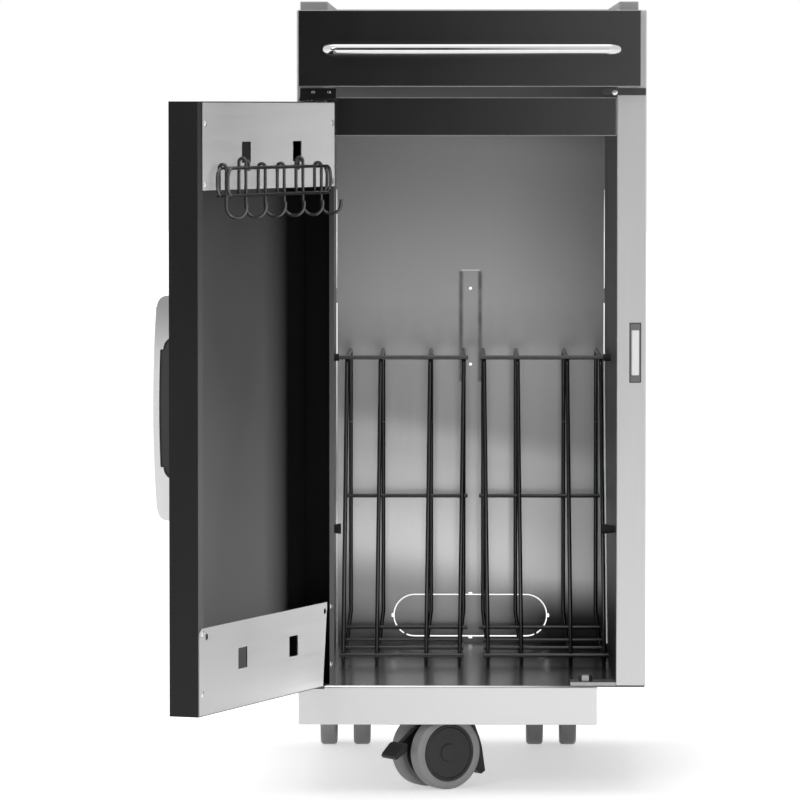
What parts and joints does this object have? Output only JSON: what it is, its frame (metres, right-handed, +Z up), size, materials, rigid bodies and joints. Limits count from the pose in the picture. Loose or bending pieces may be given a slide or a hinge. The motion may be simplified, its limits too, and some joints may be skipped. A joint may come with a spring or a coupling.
{
  "type": "grill cart with storage",
  "caption": "Narrow open-topped cart on swivel casters for a built-in grill head: steel cabinet with a hinged door, upright wire racks, tool hooks and a towel bar.",
  "frame": {"origin": "on the ground, under the middle of the box round the cart with its door standing open as pictured", "axes": "+X to the right along the front, +Y to the back, +Z up; the front, with its fascia and towel bar, faces -Y"},
  "size_m": [0.5472, 0.9376, 0.907],
  "materials": {
    "brushed_steel": "satin brushed sheet",
    "black_enamel": "smooth black enamel, half gloss",
    "pale_enamel": "pale grey enamel, half gloss",
    "black_wire": "black coated wire, glossy",
    "chrome": "mirror",
    "silver_cast": "fine satin",
    "zinc_steel": "bright zinc",
    "black_nylon": "fine grain",
    "black_rubber": "matt",
    "grey_plastic": "matt",
    "wheel_disc": "fine grain",
    "grey_tyre": "soft, half matt"
  },
  "bodies": {
    "cabinet": {"back_panel": "brushed_steel", "base_rear_rail": "pale_enamel", "base_side_rails": "pale_enamel", "base_skirt": "pale_enamel", "cabinet_screws": "zinc_steel", "caster_cross_rails": "pale_enamel", "caster_plates": "zinc_steel", "catch_housing": "grey_plastic", "catch_magnet": "zinc_steel", "cross_band": "black_enamel", "fascia_bracket_right": "black_enamel", "floor_pan": "brushed_steel", "front_fascia": "black_enamel", "hinge_bracket_top": "black_enamel", "hinge_foot_plate": "black_enamel", "hinge_pins": "zinc_steel", "left_liner": "brushed_steel", "left_rack_cross_wires": "black_wire", "left_rack_dividers": "black_wire", "left_side_panel": "brushed_steel", "left_top_rail": "brushed_steel", "rack_bushes": "black_rubber", "rear_top_rail": "brushed_steel", "right_liner": "brushed_steel", "right_rack_cross_wires": "black_wire", "right_rack_dividers": "black_wire", "right_side_panel": "brushed_steel", "right_top_rail": "brushed_steel", "tie_plate": "brushed_steel", "towel_bar": "chrome"},
    "door": {"door_handle": "silver_cast", "door_hinge_bushes": "black_rubber", "door_lower_plate": "brushed_steel", "door_plate_screws": "pale_enamel", "door_tray": "black_enamel", "door_upper_plate": "brushed_steel", "handle_grip": "black_nylon", "hook_rack_frames": "black_wire", "hook_rack_hooks": "black_wire"},
    "front_caster": {"front_fork": "black_nylon", "front_axle": "zinc_steel"},
    "front_wheel_near": {"front_hub_near": "wheel_disc", "front_tyre_near": "grey_tyre"},
    "front_wheel_far": {"front_hub_far": "wheel_disc", "front_tyre_far": "grey_tyre"},
    "brake_pedal": {"front_brake_pedal": "black_nylon"},
    "rear_left_caster": {"rear_left_fork": "black_nylon", "rear_left_axle": "zinc_steel"},
    "rear_left_wheel_near": {"rear_left_hub_near": "wheel_disc", "rear_left_tyre_near": "grey_tyre"},
    "rear_left_wheel_far": {"rear_left_hub_far": "wheel_disc", "rear_left_tyre_far": "grey_tyre"},
    "rear_right_caster": {"rear_right_fork": "black_nylon", "rear_right_axle": "zinc_steel"},
    "rear_right_wheel_near": {"rear_right_hub_near": "wheel_disc", "rear_right_tyre_near": "grey_tyre"},
    "rear_right_wheel_far": {"rear_right_hub_far": "wheel_disc", "rear_right_tyre_far": "grey_tyre"}
  },
  "joints": [
    {"name": "door_hinge", "type": "hinge", "parent": "cabinet", "child": "door", "pos_m": [-0.11027, -0.10422, 0.45975], "axis": [0, 0, 1], "range_deg": [-9.3, 110.7]},
    {"name": "front_swivel", "type": "hinge", "parent": "cabinet", "child": "front_caster", "pos_m": [0.05593, -0.01222, 0.08], "axis": [0, 0, 1], "continuous": true},
    {"name": "front_near_spin", "type": "hinge", "parent": "front_caster", "child": "front_wheel_near", "pos_m": [0.04358, -0.04462, 0.0425], "axis": [-0.5446, 0.8387, 0], "continuous": true},
    {"name": "front_far_spin", "type": "hinge", "parent": "front_caster", "child": "front_wheel_far", "pos_m": [0.02131, -0.01032, 0.0425], "axis": [-0.5446, 0.8387, 0], "continuous": true},
    {"name": "brake_pedal_press", "type": "hinge", "parent": "front_caster", "child": "brake_pedal", "pos_m": [0.01986, -0.03564, 0.066], "axis": [0.5446, -0.8387, 0], "range_deg": [0, 10]},
    {"name": "rear_left_swivel", "type": "hinge", "parent": "cabinet", "child": "rear_left_caster", "pos_m": [-0.08037, 0.39778, 0.08], "axis": [0, 0, 1], "continuous": true},
    {"name": "rear_left_near_spin", "type": "hinge", "parent": "rear_left_caster", "child": "rear_left_wheel_near", "pos_m": [-0.10082, 0.42578, 0.0425], "axis": [1, 0, 0], "continuous": true},
    {"name": "rear_left_far_spin", "type": "hinge", "parent": "rear_left_caster", "child": "rear_left_wheel_far", "pos_m": [-0.05992, 0.42578, 0.0425], "axis": [1, 0, 0], "continuous": true},
    {"name": "rear_right_swivel", "type": "hinge", "parent": "cabinet", "child": "rear_right_caster", "pos_m": [0.17313, 0.39778, 0.08], "axis": [0, 0, 1], "continuous": true},
    {"name": "rear_right_near_spin", "type": "hinge", "parent": "rear_right_caster", "child": "rear_right_wheel_near", "pos_m": [0.15268, 0.42578, 0.0425], "axis": [1, 0, 0], "continuous": true},
    {"name": "rear_right_far_spin", "type": "hinge", "parent": "rear_right_caster", "child": "rear_right_wheel_far", "pos_m": [0.19358, 0.42578, 0.0425], "axis": [1, 0, 0], "continuous": true}
  ]
}
